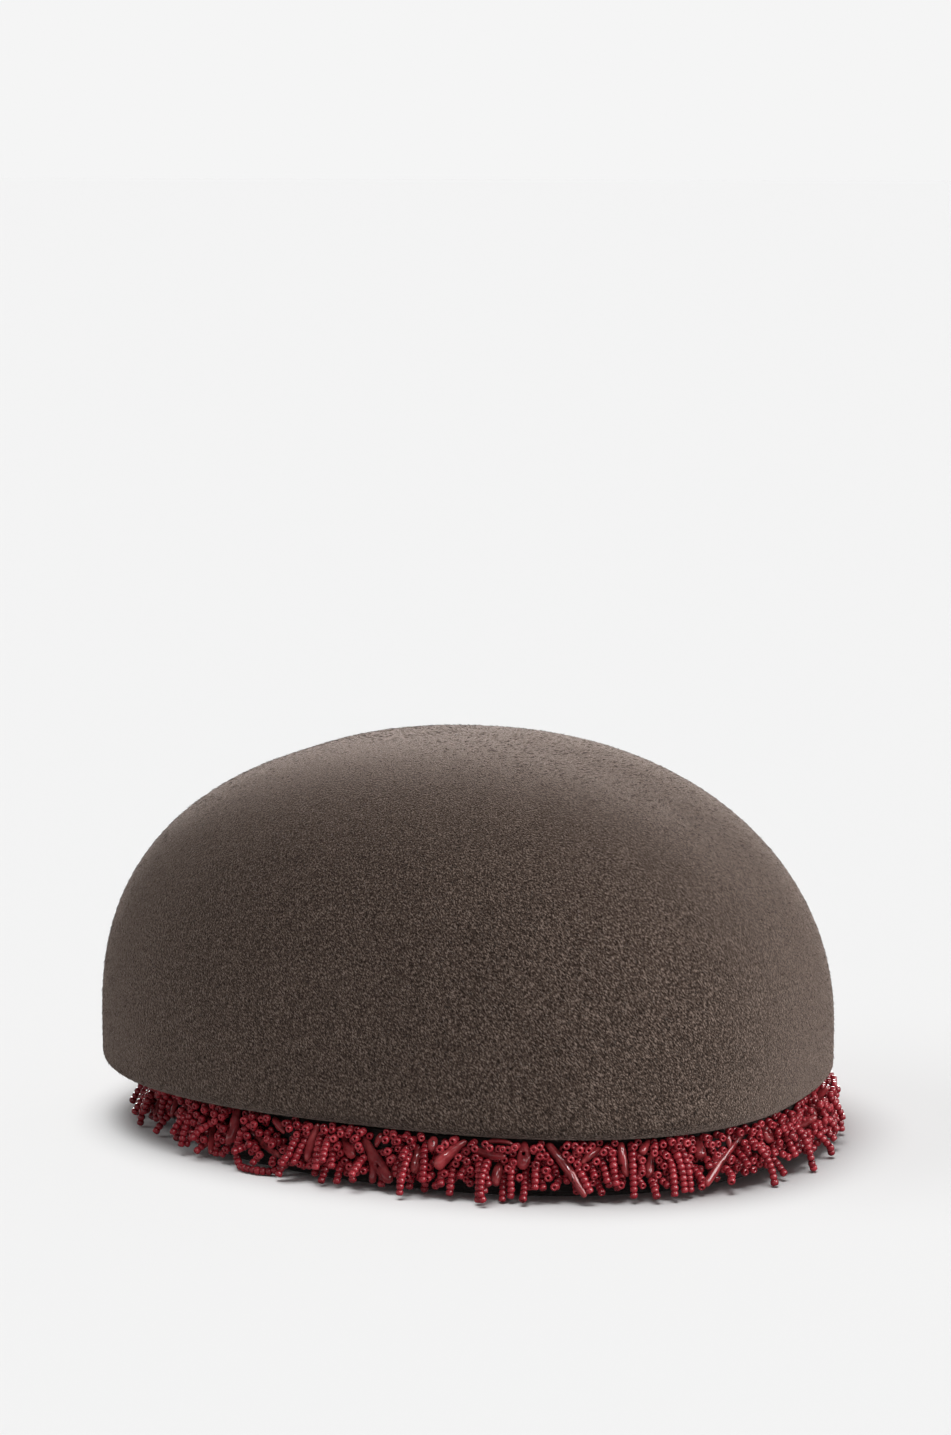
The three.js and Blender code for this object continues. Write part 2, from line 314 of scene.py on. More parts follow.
def ribbon_material():
    """Near-black ribbed ribbon on the band and the fringe's tape."""
    material, nodes, links, shader = new_material("dark_ribbon")
    coords = object_coords(nodes)
    fuzz = noise_node(nodes, links, coords, scale=900, detail=3)
    ribs = nodes.new("ShaderNodeTexWave")
    ribs.bands_direction = "Z"
    ribs.inputs["Scale"].default_value = 330
    ribs.inputs["Distortion"].default_value = 0.6
    links.new(coords, ribs.inputs["Vector"])
    color = ramp_node(nodes, links, fuzz, [
        (0.3, (0.006, 0.004, 0.004)),
        (0.7, (0.022, 0.015, 0.013)),
    ])
    links.new(color, shader.inputs["Base Color"])
    soft = math_node(nodes, links, "MULTIPLY", fuzz, 0.5)
    height = math_node(nodes, links, "ADD", ribs.outputs["Fac"], soft)
    links.new(bump_node(nodes, links, height, strength=0.5, distance=0.25 * MM), shader.inputs["Normal"])
    shader.inputs["Roughness"].default_value = 0.7
    shader.inputs["Specular IOR Level"].default_value = 0.3
    return material


def bead_material():
    """Opaque coral-red glass, no two beads quite the same shade."""
    material, nodes, links, shader = new_material("bead_glass")
    clouds = noise_node(nodes, links, object_coords(nodes), scale=700, detail=2)
    tone = ramp_node(nodes, links, value_named(nodes, "shade"), [
        (0.0, (0.150, 0.0055, 0.011)),
        (0.5, (0.270, 0.0150, 0.024)),
        (1.0, (0.410, 0.0380, 0.050)),
    ])
    cloudy = ramp_node(nodes, links, clouds, [(0.3, grey(0.86)), (0.7, grey(1.0))])
    links.new(multiply_colors(nodes, links, tone, cloudy), shader.inputs["Base Color"])
    shader.inputs["Roughness"].default_value = 0.24
    shader.inputs["Specular IOR Level"].default_value = 0.4
    shader.inputs["Coat Weight"].default_value = 0.5
    shader.inputs["Coat Roughness"].default_value = 0.06
    return material


def coral_material():
    """Tumbled branch coral: satin skin, cloudy brown-red, with a few dark pores."""
    material, nodes, links, shader = new_material("branch_coral")
    coords = object_coords(nodes)
    clouds = noise_node(nodes, links, coords, scale=260, detail=3)
    lines = noise_node(nodes, links, coords, scale=1100, detail=2)
    pores = noise_node(nodes, links, coords, scale=520, detail=1)
    tone = ramp_node(nodes, links, clouds, [
        (0.30, (0.180, 0.016, 0.020)),
        (0.50, (0.290, 0.031, 0.037)),
        (0.72, (0.390, 0.066, 0.068)),
    ])
    own = nodes.new("ShaderNodeObjectInfo").outputs["Random"]
    depth = ramp_node(nodes, links, own, [(0.0, grey(0.62)), (0.5, grey(0.95)), (1.0, grey(1.0))])
    tone = multiply_colors(nodes, links, tone, depth)
    pits = ramp_node(nodes, links, pores, [(0.24, (0.25, 0.2, 0.2)), (0.29, grey(1.0))])
    links.new(multiply_colors(nodes, links, tone, pits), shader.inputs["Base Color"])
    height = math_node(nodes, links, "ADD", lines, math_node(nodes, links, "MULTIPLY", clouds, 2.0))
    links.new(bump_node(nodes, links, height, strength=0.07, distance=0.25 * MM), shader.inputs["Normal"])
    rough = ramp_node(nodes, links, clouds, [(0.35, grey(0.10)), (0.65, grey(0.20))])
    links.new(rough, shader.inputs["Roughness"])
    shader.inputs["Specular IOR Level"].default_value = 0.45
    shader.inputs["Coat Weight"].default_value = 0.3
    shader.inputs["Coat Roughness"].default_value = 0.12
    return material


FELT = felt_material()
NAP = nap_material()
RIBBON = ribbon_material()
BEAD_GLASS = bead_material()
CORAL = coral_material()


# Crown: how many columns its mesh has, and steps along each part of a column

CROWN_COLUMNS = 168
INNER_STEPS, OUTER_STEPS = 24, 56
INNER_ROLL_STEPS, OUTER_ROLL_STEPS = 5, 10
LIP_SHARES = (0, 0.33, 0.66)
WALL_SHARES = (0.2, 0.4, 0.6, 0.8)
WELD_REACH = 0.02 * MM


def dome_power(angle):
    along = math.cos(angle)
    end_power = FRONT_POWER if along < 0 else BACK_POWER
    return end_power * along ** 2 + SIDE_POWER * math.sin(angle) ** 2


def dome_point(angle, inset, turn):
    """On the outer skin (inset 0) or the inner one; turn 0 is the widest level, a quarter turn the apex."""
    power = dome_power(angle)
    radius = plan_radius(angle, CROWN_HALF_LENGTH - inset, CROWN_HALF_WIDTH - inset, CROWN_PLAN_POWER)
    spread = radius * max(0.0, math.cos(turn)) ** (2 / power)
    rise = math.sin(turn) ** (2 / power)
    return Vector((
        CROWN_CENTRE_X + APEX_SHIFT * rise ** 2 + spread * math.cos(angle),
        spread * math.sin(angle),
        WIDEST_HEIGHT + (CROWN_HIGH.z - inset - WIDEST_HEIGHT) * rise,
    ))


def rim_point(angle, inset, turn):
    """On the rolled edge: turn 0 is upright wall, a quarter turn the flat underside."""
    radius = plan_radius(angle, CROWN_HALF_LENGTH - inset, CROWN_HALF_WIDTH - inset, CROWN_PLAN_POWER)
    roll = ROLL_RADIUS - inset
    spread = radius - roll * (1 - math.cos(turn))
    return Vector((
        CROWN_CENTRE_X + spread * math.cos(angle),
        spread * math.sin(angle),
        RIM_HEIGHT + ROLL_RADIUS - roll * math.sin(turn),
    ))


def turns(steps):
    return [step / steps * math.pi / 2 for step in range(steps + 1)]


def crown_section(angle):
    """From the inner apex down to the lip's edge, out under the rolled rim, and up to the outer apex."""
    inner = [dome_point(angle, FELT_WALL, turn) for turn in reversed(turns(INNER_STEPS))]
    inner_roll = [rim_point(angle, FELT_WALL, turn) for turn in turns(INNER_ROLL_STEPS)]
    lip_top = band_point(angle, GAP, RIM_HEIGHT + FELT_WALL)
    lip_edge = band_point(angle, GAP, RIM_HEIGHT)
    outer_roll = [rim_point(angle, 0, turn) for turn in reversed(turns(OUTER_ROLL_STEPS))]
    outer = [dome_point(angle, 0, turn) for turn in turns(OUTER_STEPS)]
    lip = [lip_edge.lerp(outer_roll[0], share) for share in LIP_SHARES]
    wall = [outer_roll[-1].lerp(outer[0], share) for share in WALL_SHARES]
    return inner + inner_roll + [lip_top] + lip + outer_roll + wall + outer


def build_crown():
    angles = [column / CROWN_COLUMNS * 2 * math.pi for column in range(CROWN_COLUMNS)]
    sections = [crown_section(angle) for angle in angles]
    points = np.array([[tuple(point) for point in section] for section in sections])
    crown = mesh_object("felt_crown", points, grid_faces(CROWN_COLUMNS, len(sections[0])), FELT)
    weld = crown.modifiers.new("apexes", "WELD")
    weld.merge_threshold = WELD_REACH
    dress(crown, "felt", "crown")


# Nap: how long, wide and deep its fibres are, how far they stand off the skin, the mean and spread of
# their turn to one side in radians, and how their shades fall between dark and light

NAP_COUNT = 36000
NAP_SEED = 11
NAP_LENGTH = (0.7 * MM, 1.8 * MM)
NAP_WIDTH = 0.15 * MM
NAP_DEPTH = 0.1 * MM
NAP_LIFT = (0.05, 0.4)
NAP_SWING = (0.75, 0.5)
NAP_SHADES = (1.6, 2.2)
SKIN_COLUMNS, SKIN_ROWS, SKIN_ROLL_STEPS = 240, 90, 6


def nap_places(rng):
    """Evenly strewn places on the crown's outer skin, with the skin's two directions there."""
    skin = []
    for angle in np.linspace(0, 2 * math.pi, SKIN_COLUMNS, endpoint=False):
        roll = [rim_point(angle, 0, turn) for turn in reversed(turns(SKIN_ROLL_STEPS))]
        dome = [dome_point(angle, 0, turn) for turn in turns(SKIN_ROWS)]
        skin.append([tuple(point) for point in roll + dome[1:]])
    skin = np.array(skin)
    here, around, above = skin[:, :-1], np.roll(skin, -1, 0)[:, :-1], skin[:, 1:]
    areas = np.linalg.norm(np.cross(around - here, above - here), axis=2).ravel()
    picks = rng.choice(len(areas), NAP_COUNT, p=areas / areas.sum())
    share = rng.random((NAP_COUNT, 2))[:, :, None]
    foot, side, top = [part.reshape(-1, 3)[picks] for part in (here, around, above)]
    places = foot + share[:, 0] * (side - foot) + share[:, 1] * (top - foot)
    return places, unit(side - foot), unit(top - foot)


def build_nap():
    """Short fibres laid down the crown and a little to one side, as closed slivers with four faces."""
    rng = np.random.default_rng(NAP_SEED)
    places, sideways, upward = nap_places(rng)
    normals = unit(np.cross(sideways, upward))
    swing = rng.normal(*NAP_SWING, NAP_COUNT)[:, None]
    lay = unit(np.sin(swing) * sideways - np.cos(swing) * upward)
    direction = unit(lay + rng.uniform(*NAP_LIFT, NAP_COUNT)[:, None] * normals)
    side = unit(np.cross(direction, normals))
    length = rng.uniform(*NAP_LENGTH, NAP_COUNT)[:, None]
    foot = places - NAP_DEPTH * normals
    corners = np.stack([
        foot - side * NAP_WIDTH / 2,
        foot + side * NAP_WIDTH / 2,
        foot + normals * NAP_WIDTH,
        foot + direction * length,
    ], axis=1)
    faces = np.array([(0, 2, 1), (0, 1, 3), (1, 2, 3), (2, 0, 3)])
    stacked = (faces[None] + 4 * np.arange(NAP_COUNT)[:, None, None]).reshape(-1, 3)
    nap = mesh_object("felt_nap", corners, stacked, NAP, smooth=False)
    add_value(nap, "shade", np.repeat(rng.beta(*NAP_SHADES, NAP_COUNT), 4))
    dress(nap, "felt")


# Head band and the fringe's tape

TAPE_COLUMNS = 180
TAPE_EDGE = 0.25 * MM


def build_tape():
    corners = [(GAP, TAPE_BOTTOM), (TAPE_FACE, TAPE_BOTTOM), (TAPE_FACE, TAPE_TOP), (GAP, TAPE_TOP)]
    points = []
    for column in range(TAPE_COLUMNS):
        angle = column / TAPE_COLUMNS * 2 * math.pi
        points.extend(tuple(band_point(angle, offset, z)) for offset, z in corners)
    tape = mesh_object("fringe_tape", points, grid_faces(TAPE_COLUMNS, len(corners), True), RIBBON)
    edge = tape.modifiers.new("soft_edges", "BEVEL")
    edge.width = TAPE_EDGE
    edge.segments = 2
    dress(tape, "band_cloth", "bead_fringe")


def dress_band():
    band = NODES["head_band"]
    band.data.materials.clear()
    band.data.materials.append(RIBBON)
    weld = band.modifiers.new("weld", "WELD")
    weld.merge_threshold = WELD_REACH


# Branch coral: how big its swellings are, how high, and the tone of the clouds that moves nothing

SWELL_SIZE = 3.5 * MM
SWELL_HEIGHT = 0.6 * MM
SWELL_LEVEL = 0.1


def dress_coral():
    """The solids' sticks, rounded off and made uneven as tumbled coral is."""
    swelling = bpy.data.textures.new("coral_swelling", "CLOUDS")
    swelling.noise_scale = SWELL_SIZE
    swelling.noise_depth = 1
    for name in CORALS:
        stick = NODES[name]
        stick.data.materials.clear()
        stick.data.materials.append(CORAL)
        for polygon in stick.data.polygons:
            polygon.use_smooth = True
        weld = stick.modifiers.new("weld", "WELD")
        weld.merge_threshold = WELD_REACH
        smooth = stick.modifiers.new("round", "SUBSURF")
        smooth.levels = 2
        smooth.render_levels = 2
        swell = stick.modifiers.new("swelling", "DISPLACE")
        swell.texture = swelling
        swell.texture_coords = "GLOBAL"
        swell.strength = SWELL_HEIGHT
        swell.mid_level = SWELL_LEVEL


# Small filler sticks, as rows like the main ones: degrees round the band, height of the root,
# length and thickness, degrees off plumb and outward
CHIPS = [
    {"around": -143, "height": 14.5, "length": 8.0, "thick": 2.2, "lean": 30, "flare": 30},
    {"around": -113, "height": 17.0, "length": 7.0, "thick": 2.8, "lean": 58, "flare": 14},
    {"around": -88, "height": 17.0, "length": 4.5, "thick": 2.2, "lean": -10, "flare": 30},
    {"around": -66, "height": 17.2, "length": 8.0, "thick": 1.8, "lean": 90, "flare": 8},
    {"around": -45, "height": 17.6, "length": 6.0, "thick": 2.0, "lean": -68, "flare": 16},
    {"around": -22.5, "height": 16.5, "length": 5.0, "thick": 2.2, "lean": -8, "flare": 26},
]
FAR_CHIPS = {"count": 9, "first": 30, "pitch": 19}
CHIP_SEED = 3
CHIP_SIDES = 9
CHIP_LEVELS = 9

# How a filler stick is formed, as shares of its length or thickness: its bend, its unevenness, how its
# ends are rounded and how it tapers; and the room it needs beside a main stick
CHIP_BEND = 0.08
CHIP_WOBBLE = (0.93, 1.07)
CHIP_END, CHIP_SPAN, CHIP_BLUNTNESS = 0.04, 0.92, 0.4
CHIP_GIRTH, CHIP_TAPER = 1.05, 0.25
CHIP_ROOM = 0.3 * MM


def chip_rows():
    far = []
    for index in range(FAR_CHIPS["count"]):
        around = FAR_CHIPS["first"] + index * FAR_CHIPS["pitch"]
        far.append({**CHIPS[index % len(CHIPS)], "around": around})
    return CHIPS + far


def chip_points(row, rng):
    """Rings of a tapered, slightly bent stick from its root to its tip, on the tape's face."""
    angle, lean, flare = (math.radians(row[key]) for key in ("around", "lean", "flare"))
    length, half = row["length"] * MM, row["thick"] / 2 * MM
    outward = band_outward(angle)
    sideways = UP.cross(outward)
    along = -UP * math.cos(lean) * math.cos(flare) + sideways * math.sin(lean) * math.cos(flare)
    along += outward * math.sin(flare)
    across = along.cross(outward).normalized()
    facing = across.cross(along)
    root = band_point(angle, TAPE_FACE + GAP + half * math.cos(flare), row["height"] * MM)
    bend = rng.uniform(-CHIP_BEND, CHIP_BEND) * length
    points = []
    for level in range(CHIP_LEVELS):
        share = level / (CHIP_LEVELS - 1)
        middle = root + along * length * share + across * 4 * bend * share * (1 - share)
        rounding = math.sin(math.pi * (CHIP_END + CHIP_SPAN * share)) ** CHIP_BLUNTNESS
        girth = half * rounding * (CHIP_GIRTH - CHIP_TAPER * share)
        for side in range(CHIP_SIDES):
            turn = side / CHIP_SIDES * 2 * math.pi
            reach = girth * rng.uniform(*CHIP_WOBBLE)
            points.append(middle + across * reach * math.cos(turn) + facing * reach * math.sin(turn))
    return points + [root, root + along * length]


def chip_faces():
    """Triangles of one chip: its rings and the fans that close both ends."""
    faces = []
    last = CHIP_LEVELS * CHIP_SIDES
    for side in range(CHIP_SIDES):
        after = (side + 1) % CHIP_SIDES
        for level in range(CHIP_LEVELS - 1):
            low, high = level * CHIP_SIDES, (level + 1) * CHIP_SIDES
            faces.append((low + side, low + after, high + after))
            faces.append((low + side, high + after, high + side))
        faces.append((last, after, side))
        top = (CHIP_LEVELS - 1) * CHIP_SIDES
        faces.append((last + 1, top + side, top + after))
    return np.array(faces)


def build_chips():
    """Returns the filler sticks' points and faces, which the beads keep clear of."""
    rng = random.Random(CHIP_SEED)
    solids = solid_tree(CORALS)
    faces = chip_faces()
    points, stacked = [], []
    for row in chip_rows():
        chip = chip_points(row, rng)
        room = min(solids.find_nearest(point)[3] for point in chip)
        if room > CHIP_ROOM:
            stacked.append(faces + len(points))
            points.extend(chip)
    stacked = np.concatenate(stacked)
    piece = mesh_object("coral_chips", [tuple(point) for point in points], stacked, CORAL)
    dress(piece, "coral")
    return points, stacked.tolist()


# Seed beads: their size, how far a bead's ends reach into its neighbours, and how sizes and shades differ

BEAD_RADIUS = 1.2 * MM
BEAD_LENGTH = 1.75 * MM
BEAD_HOLE = 0.42 * MM
BEAD_OVERLAP = 1.04
BEAD_SIDES = 10
BEAD_PIECES = 4
BEAD_SEED = 5
BEAD_SIZE_SPREAD = 0.035
STRAND_SHADE, STRAND_SHADE_SPREAD, BEAD_SHADE_SPREAD = 0.5, 0.12, 0.14
FLOOR_CLEAR = 0.15 * MM

# A row for each sort of strand, placed in this order: heights of its rows of roots, degrees between roots,
# beads in each, how far out it may reach, degrees below level that it sets out, how much it turns down
# from bead to bead, and the share of it sewn at the hat's two ends, where the fringe is thinner
FILL_ROWS = (17.2, 16, 14.4, 12.6, 10.6, 8.5, 6.6)
STRAND_SORTS = [
    {"heights": (15.6, 13.6), "pitch": 3.9, "beads": (6, 12), "reach": 14,
     "dip": (5, 30), "sag": (0.12, 0.34), "at_ends": 1.0},
    {"heights": (11, 8.5), "pitch": 3.6, "beads": (3, 7), "reach": 12,
     "dip": (5, 35), "sag": (0.04, 0.20), "at_ends": 0.6},
    {"heights": (6.3,), "pitch": 3.6, "beads": (2, 4), "reach": 9,
     "dip": (10, 35), "sag": (0.0, 0.12), "at_ends": 0.4},
    {"heights": FILL_ROWS, "pitch": 1.5, "beads": (1, 3), "reach": 7,
     "dip": (-8, 20), "sag": (0.0, 0.12), "at_ends": 0.9},
    {"heights": FILL_ROWS, "pitch": 1.5, "beads": (1, 2), "reach": 8,
     "dip": (-8, 20), "sag": (0.0, 0.12), "at_ends": 0.8},
    {"heights": FILL_ROWS, "pitch": 1.3, "beads": (1, 2), "reach": 9,
     "dip": (-8, 30), "sag": (0.0, 0.12), "at_ends": 0.5},
]
STRAND_SEED = 1

# The hat's two ends, in degrees round the band
END_ZONES = ((-180, -130), (-18, 14))

# Where a strand starts: how unevenly its root lies round the tape, in pitches, and up it, how far it stands
# off the tape, and how many bead lengths out its first bead may be moved to find room
ROOT_JITTER = 0.35
ROOT_SPREAD = 0.7 * MM
ROOT_CLEAR = 0.1 * MM
MOST_LEAD = 4
HIGHEST_BEAD = RIM_HEIGHT - 1.0 * MM
HIGHEST_ROOT = HIGHEST_BEAD - 0.01 * MM

# How it goes on: the spread of its first heading to the side, tries for each bead, how far the first try
# and each further one wander from the line, and the sharpest bend that its thread allows
SIDE_SPREAD = 0.22
BEAD_TRIES = 9
FIRST_WANDER, MORE_WANDER = 0.04, 0.11
SHARPEST_BEND = math.cos(math.radians(38))

# Strands sewn down at both ends: degrees round the band and height of each end, degrees round the band
# where it hangs down, and how far out that is; then the steps along its curve, and how far the curve's
# handles lie below the floor, as a share of the ends' heights
LOOPS = [
    {"ends": (-122, -107.5), "heights": (12, 5.5), "hangs": (-119, -111), "reach": 12.5},
    {"ends": (62, 74), "heights": (9, 7), "hangs": (62, 74), "reach": 11},
]
LOOP_STEPS = 200
LOOP_DROP = 0.3


def solid_tree(names, points=(), faces=()):
    """One search tree over several of the frame's solids and any more points and faces."""
    points, faces = list(points), list(faces)
    for name in names:
        mesh = NODES[name].data
        base = len(points)
        points.extend(vertex.co.copy() for vertex in mesh.vertices)
        faces.extend([base + index for index in polygon.vertices] for polygon in mesh.polygons)
    return BVHTree.FromPolygons(points, faces)


class BeadSpace:
    """The beads placed so far and the solids round them."""

    CELL = 2.6 * MM

    # How near beads may come to each other and to the solids, as shares of their width and radius
    TOUCH = 0.92
    SNUG = 0.85

    # How far behind a bead and beside it sticks count as hidden, how squarely a place has to face the
    # camera to be on the near side, and how steeply the rest is looked at
    SIGHT_DEPTH = 11 * MM
    SIGHT_SPREAD = 0.8 * BEAD_RADIUS
    NEAR_SIDE = 0.2
    LOOK_DOWN = 0.2

    # How often and how far a bead is moved off what it cuts into
    PUSH_ROUNDS = 4
    PUSH_SHARE = 1.05

    def __init__(self, chip_points, chip_faces):
        self.cells = {}
        self.solids = solid_tree(["crown", "head_band"] + CORALS, chip_points, chip_faces)
        self.corals = solid_tree(CORALS, chip_points, chip_faces)

    def cell(self, point):
        return tuple(int(math.floor(value / self.CELL)) for value in point)

    def add(self, point):
        self.cells.setdefault(self.cell(point), []).append(point)

    def near_beads(self, point):
        x, y, z = self.cell(point)
        for key in ((x + i, y + j, z + k) for i in (-1, 0, 1) for j in (-1, 0, 1) for k in (-1, 0, 1)):
            yield from self.cells.get(key, ())

    def is_free(self, point, own):
        if not BEAD_RADIUS + FLOOR_CLEAR < point.z < HIGHEST_BEAD:
            return False
        place, normal, _, distance = self.solids.find_nearest(point)
        if distance < BEAD_RADIUS * self.SNUG or (point - place).dot(normal) < 0:
            return False
        limit = 2 * BEAD_RADIUS * self.TOUCH
        return all((point - other).length > limit for other in self.near_beads(point) if other not in own)

    def hides_coral(self, point, outward):
        """Whether a bead here would stand in front of a stick, for someone facing that side."""
        facing = look_direction(VIEW_AZIMUTH, VIEW_ELEVATION)
        on_near_side = outward.dot(facing) > self.NEAR_SIDE
        inward = -facing if on_near_side else (-outward - self.LOOK_DOWN * UP).normalized()
        aside = UP.cross(inward).normalized() * self.SIGHT_SPREAD
        starts = (point, point + aside, point - aside, point + UP * self.SIGHT_SPREAD)
        return any(self.corals.ray_cast(start, inward, self.SIGHT_DEPTH)[0] is not None for start in starts)

    def push_clear(self, point):
        """The point, moved off the solids and the floor."""
        for _ in range(self.PUSH_ROUNDS):
            place, _, _, distance = self.solids.find_nearest(point)
            if distance < BEAD_RADIUS:
                point = place + (point - place).normalized() * BEAD_RADIUS * self.PUSH_SHARE
            point.z = max(point.z, BEAD_RADIUS + FLOOR_CLEAR)
        return point


def grow_strand(space, rng, angle, height, sort):
    """Bead centres of one strand, sewn on the tape and sagging outward; it steers clear of the rest."""
    count = rng.randint(*sort["beads"])
    dip = math.radians(rng.uniform(*sort["dip"]))
    sag = rng.uniform(*sort["sag"])
    outward = band_outward(angle)
    heading = outward * math.cos(dip) - UP * math.sin(dip) + UP.cross(outward) * rng.gauss(0, SIDE_SPREAD)
    heading.normalize()
    root = band_point(angle, TAPE_FACE + BEAD_RADIUS + ROOT_CLEAR, height)
    starts = [root + heading * lead * BEAD_LENGTH for lead in range(MOST_LEAD)]
    point = next((place for place in starts if space.is_free(place, ())), root)
    beads = []
    for step in range(count):
        found = None
        for attempt in range(BEAD_TRIES):
            wander = FIRST_WANDER + MORE_WANDER * attempt
            turn = Vector((rng.gauss(0, wander), rng.gauss(0, wander), rng.gauss(0, wander)))
            trial = (heading - UP * sag + turn).normalized() if step else heading
            place = point + trial * BEAD_LENGTH if step else point
            in_reach = (place - root).dot(outward) < sort["reach"] * MM - TAPE_FACE - BEAD_RADIUS
            bends_gently = trial.dot(heading) > SHARPEST_BEND
            can_lie = bends_gently and in_reach and space.is_free(place, beads[-1:])
            if can_lie and not space.hides_coral(place, outward):
                found = place, trial
                break
            if not step:
                break
        if not found:
            break
        point, heading = found
        beads.append(point)
    return beads


def at_an_end(angle):
    around = math.degrees((angle + math.pi) % (2 * math.pi) - math.pi)
    return any(first < around < last for first, last in END_ZONES)


def root_places(rng, sort):
    """Roots of one sort of strand in uneven rows round the tape, in no order."""
    count = round(360 / sort["pitch"])
    places = []
    for row, height in enumerate(sort["heights"]):
        for index in range(count):
            jitter = rng.uniform(-ROOT_JITTER, ROOT_JITTER)
            angle = (index + row / 2 + jitter) / count * 2 * math.pi
            level = min(height * MM + rng.uniform(-1, 1) * ROOT_SPREAD, HIGHEST_ROOT)
            if not at_an_end(angle) or rng.random() < sort["at_ends"]:
                places.append((angle, level))
    rng.shuffle(places)
    return places


def loop_strand(space, row):
    """Bead centres along a strand that hangs from the tape between two places."""
    starts = [math.radians(value) for value in row["ends"]]
    hangs = [math.radians(value) for value in row["hangs"]]
    ends = [band_point(a, TAPE_FACE + BEAD_RADIUS, z * MM) for a, z in zip(starts, row["heights"])]
    lows = [-LOOP_DROP * z * MM for z in row["heights"]]
    hang = [band_point(a, row["reach"] * MM, low) for a, low in zip(hangs, lows)]
    line = []
    for step in range(LOOP_STEPS + 1):
        t = step / LOOP_STEPS
        s = 1 - t
        line.append(ends[0] * s ** 3 + hang[0] * 3 * s * s * t + hang[1] * 3 * s * t * t + ends[1] * t ** 3)
    beads = [space.push_clear(line[0])]
    for point in line[1:]:
        point = space.push_clear(point)
        if (point - beads[-1]).length >= BEAD_LENGTH:
            beads.append(point)
    return beads


def grow_fringe(chips):
    """All strands, each as its angle round the band and its bead centres."""
    rng = random.Random(STRAND_SEED)
    space = BeadSpace(*chips)
    strands = []

    def keep(angle, beads):
        strands.append((angle % (2 * math.pi), beads))
        for point in beads:
            space.add(point)

    for row in LOOPS:
        keep(math.radians(row["ends"][0]), loop_strand(space, row))
    for sort in STRAND_SORTS:
        for angle, height in root_places(rng, sort):
            beads = grow_strand(space, rng, angle, height, sort)
            if len(beads) >= sort["beads"][0]:
                keep(angle, beads)
    return strands


def bead_template():
    """A rounded bead with its hole, along +Z: points and quads.

    The ring goes from the hole's edge over the shoulder to the girth, as radius and share of half the length.
    """
    half = BEAD_LENGTH / 2 * BEAD_OVERLAP
    middle = (BEAD_HOLE + BEAD_RADIUS) / 2
    ring = [(BEAD_HOLE, 0.72), (middle, 1.0), (0.93 * BEAD_RADIUS, 0.64), (BEAD_RADIUS, 0.2)]
    lower = [(r, -share * half) for r, share in ring]
    upper = [(r, share * half) for r, share in reversed(ring)]
    profile = lower + upper
    points = []
    for side in range(BEAD_SIDES):
        angle = side / BEAD_SIDES * 2 * math.pi
        points.extend((r * math.cos(angle), r * math.sin(angle), z) for r, z in profile)
    return np.array(points), grid_faces(BEAD_SIDES, len(profile), True)


def strand_axes(angle, beads):
    """The thread's direction at each bead, from where it leaves the tape."""
    start = beads[0] - band_outward(angle) * BEAD_LENGTH
    line = np.array([tuple(point) for point in [start] + beads])
    return unit(np.gradient(line, axis=0))[1:]


def build_beads(chips):
    rng = np.random.default_rng(BEAD_SEED)
    template, quads = bead_template()
    groups = [([], [], []) for _ in range(BEAD_PIECES)]
    for angle, beads in grow_fringe(chips):
        centres, axes, shades = groups[int(angle / (2 * math.pi) * BEAD_PIECES) % BEAD_PIECES]
        centres.extend(tuple(point) for point in beads)
        axes.extend(strand_axes(angle, beads))
        own_shade = rng.normal(STRAND_SHADE, STRAND_SHADE_SPREAD)
        shades.extend(own_shade + rng.normal(0, BEAD_SHADE_SPREAD, len(beads)))
    for index, (centres, axes, shades) in enumerate(groups):
        count = len(centres)
        along = np.array(axes)
        across = unit(np.cross(along, unit(rng.normal(size=(count, 3)))))
        facing = np.cross(along, across)
        sizes = rng.normal(1.0, BEAD_SIZE_SPREAD, (count, 1, 1))
        turned = np.einsum("pk,nkc->npc", template, np.stack([across, facing, along], axis=1))
        points = turned * sizes + np.array(centres)[:, None]
        faces = (quads[None] + len(template) * np.arange(count)[:, None, None]).reshape(-1, 4)
        piece = mesh_object(f"bead_strands_{index + 1}", points, faces, BEAD_GLASS)
        add_value(piece, "shade", np.repeat(np.clip(shades, 0, 1), len(template)))
        dress(piece, "beads", "bead_fringe")


# Stage

FLOOR_TONE = 0.785
FLOOR_HALF = 40


def build_floor():
    material, _, _, shader = new_material("studio_floor")
    shader.inputs["Base Color"].default_value = (*grey(FLOOR_TONE), 1)
    shader.inputs["Roughness"].default_value = 1.0
    shader.inputs["Specular IOR Level"].default_value = 0.0
    corners = [(x * FLOOR_HALF, y * FLOOR_HALF, 0) for x, y in ((-1, -1), (1, -1), (1, 1), (-1, 1))]
    floor = mesh_object("studio_floor", corners, [(0, 1, 2, 3)], material)
    floor.visible_glossy = False
    return floor


def build_sky():
    """A pale wall all round, low down, under a dim ceiling; what the gloss sees below is dark."""
    world = bpy.data.worlds.new("studio")
    bpy.context.scene.world = world
    world.use_nodes = True
    nodes, links = world.node_tree.nodes, world.node_tree.links
    split = nodes.new("ShaderNodeSeparateXYZ")
    links.new(nodes.new("ShaderNodeTexCoord").outputs["Generated"], split.inputs[0])
    level = math_node(nodes, links, "MULTIPLY_ADD", split.outputs["Z"], 0.5, 0.5)
    sky = ramp_node(nodes, links, level, [
        (0.470, grey(0.06)),
        (0.485, grey(0.913)),
        (0.545, grey(0.913)),
        (0.575, grey(0.25)),
        (0.660, grey(0.08)),
        (1.000, grey(0.15)),
    ])
    links.new(sky, nodes["Background"].inputs["Color"])


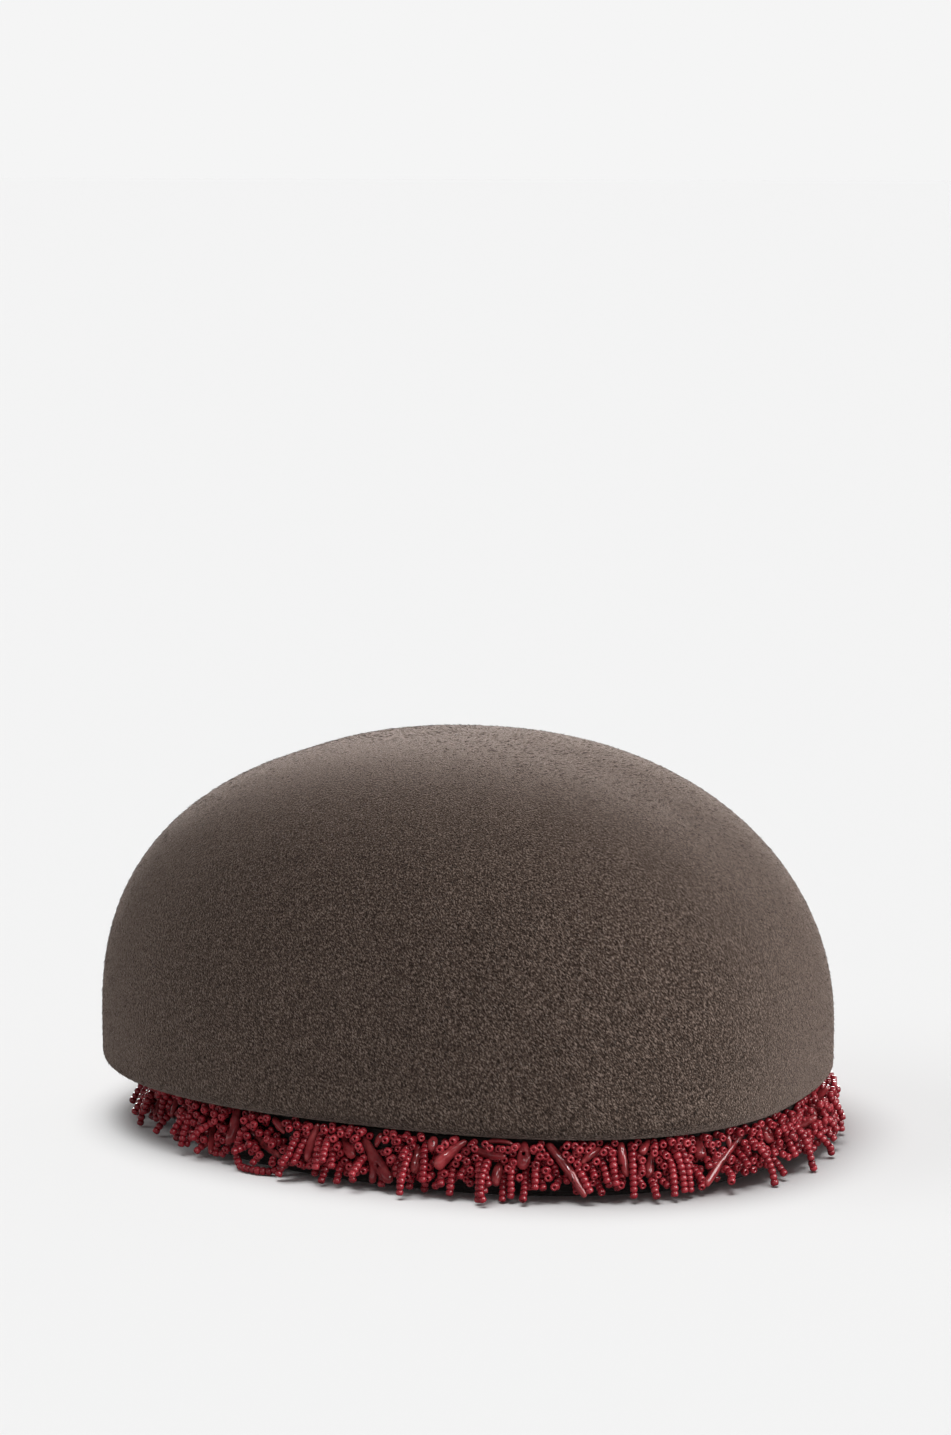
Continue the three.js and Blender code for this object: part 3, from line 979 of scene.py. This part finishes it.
# A row for each distant soft lamp: where it shines from, its strength, how wide it looks in degrees,
# and whether it lights the hat or the floor
LAMPS = {
    "ceiling": {"azimuth": -80, "elevation": 83, "energy": 2.92, "width": 40, "lights": "floor"},
    "floor_fill": {"azimuth": -60, "elevation": 35, "energy": 0.5, "width": 40, "lights": "floor"},
    "back": {"azimuth": 204, "elevation": 14, "energy": 6.3, "width": 38, "lights": "hat"},
    "key": {"azimuth": 88, "elevation": 32, "energy": 3.2, "width": 40, "lights": "hat"},
    "sparkle": {"azimuth": 32, "elevation": 44, "energy": 0.65, "width": 5.5, "lights": "hat"},
}


def build_lamps(floor):
    """Each lamp reaches only what it is for, as flags and barn doors see to in a studio."""
    groups = {name: bpy.data.collections.new(f"lit_{name}") for name in ("hat", "floor")}
    for obj in bpy.context.scene.objects:
        if obj.type == "MESH":
            groups["floor" if obj == floor else "hat"].objects.link(obj)
    for name, row in LAMPS.items():
        light = bpy.data.lights.new(name, "SUN")
        light.energy = row["energy"]
        light.angle = math.radians(row["width"])
        lamp = bpy.data.objects.new(name, light)
        bpy.context.scene.collection.objects.link(lamp)
        towards = look_direction(row["azimuth"], row["elevation"])
        lamp.rotation_euler = towards.to_track_quat("Z", "Y").to_euler()
        lamp.light_linking.receiver_collection = groups[row["lights"]]


def look_direction(azimuth, elevation):
    """From the hat towards a lamp or camera; azimuth 0 is the near side, 90 is +X."""
    turn, rise = math.radians(azimuth), math.radians(elevation)
    return Vector((math.sin(turn) * math.cos(rise), -math.cos(turn) * math.cos(rise), math.sin(rise)))


# Camera: the photograph's view, in its frame of 951 x 1435 pixels

PHOTO_WIDTH, PHOTO_HEIGHT = 951, 1435
VIEW_AZIMUTH, VIEW_ELEVATION = 24.5, 12.0
VIEW_DISTANCE = 1200 * MM
FOCAL_PIXELS = 3718
AIM = Vector((CROWN_CENTRE_X, 0, 60 * MM))
AIM_PIXEL = (465.5, 936.5)


def build_camera():
    camera = bpy.data.cameras.new("camera")
    camera.sensor_width = 36
    camera.lens = FOCAL_PIXELS * camera.sensor_width / PHOTO_HEIGHT
    camera.clip_start = 0.05
    camera.clip_end = 200
    eye = bpy.data.objects.new("camera", camera)
    bpy.context.scene.collection.objects.link(eye)
    back = look_direction(VIEW_AZIMUTH, VIEW_ELEVATION)
    eye.location = AIM + back * VIEW_DISTANCE
    right = UP.cross(back).normalized()
    upward = back.cross(right)
    aside = (AIM_PIXEL[0] - PHOTO_WIDTH / 2) / FOCAL_PIXELS
    below = (AIM_PIXEL[1] - PHOTO_HEIGHT / 2) / FOCAL_PIXELS
    axis = (back + right * aside - upward * below).normalized()
    eye.rotation_euler = axis.to_track_quat("Z", "Y").to_euler()
    bpy.context.scene.camera = eye


def main():
    build_camera()
    build_sky()
    build_crown()
    build_nap()
    dress_band()
    build_tape()
    dress_coral()
    build_beads(build_chips())
    build_lamps(build_floor())
    bpy.context.scene.view_settings.view_transform = "Standard"
    bpy.context.view_layer.update()


main()
